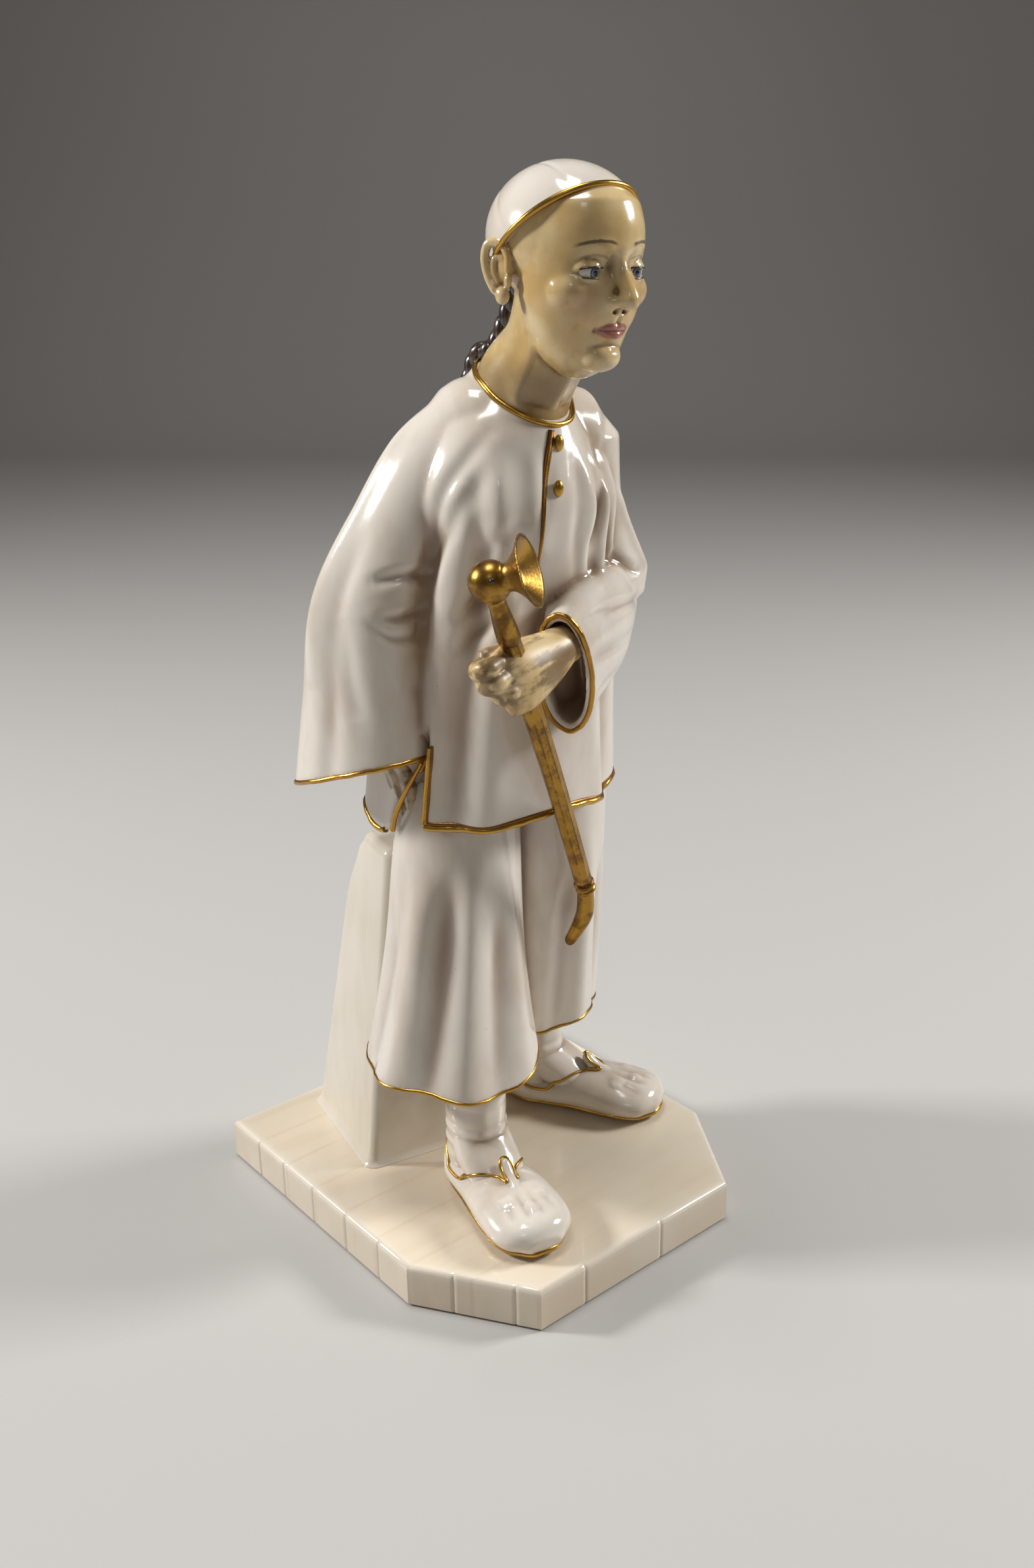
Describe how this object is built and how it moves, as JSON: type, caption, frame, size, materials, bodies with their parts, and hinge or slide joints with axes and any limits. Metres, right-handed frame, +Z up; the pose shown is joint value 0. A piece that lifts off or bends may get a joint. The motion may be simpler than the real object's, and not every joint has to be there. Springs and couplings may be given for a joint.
{
  "type": "porcelain figure",
  "caption": "Glazed porcelain figure of a stooping elder in a wide-sleeved jacket and skullcap, holding a gilt pipe, on a cut-corner slab.",
  "frame": {"origin": "Centre of the slab's flat underside, on the plane the figure rests on.", "axes": "+Z is up from the underside to the crown of the cap. The figure faces -Y. Its own right hand side is -X, its own left hand side is +X."},
  "size_m": [0.099, 0.11, 0.2537],
  "materials": {
    "white_glaze": "clear glossy glaze over white porcelain, gilt lines at the hems and on the pipe, painted skin and hair"
  },
  "bodies": {
    "root": {"porcelain_figure": "white_glaze"}
  },
  "joints": []
}
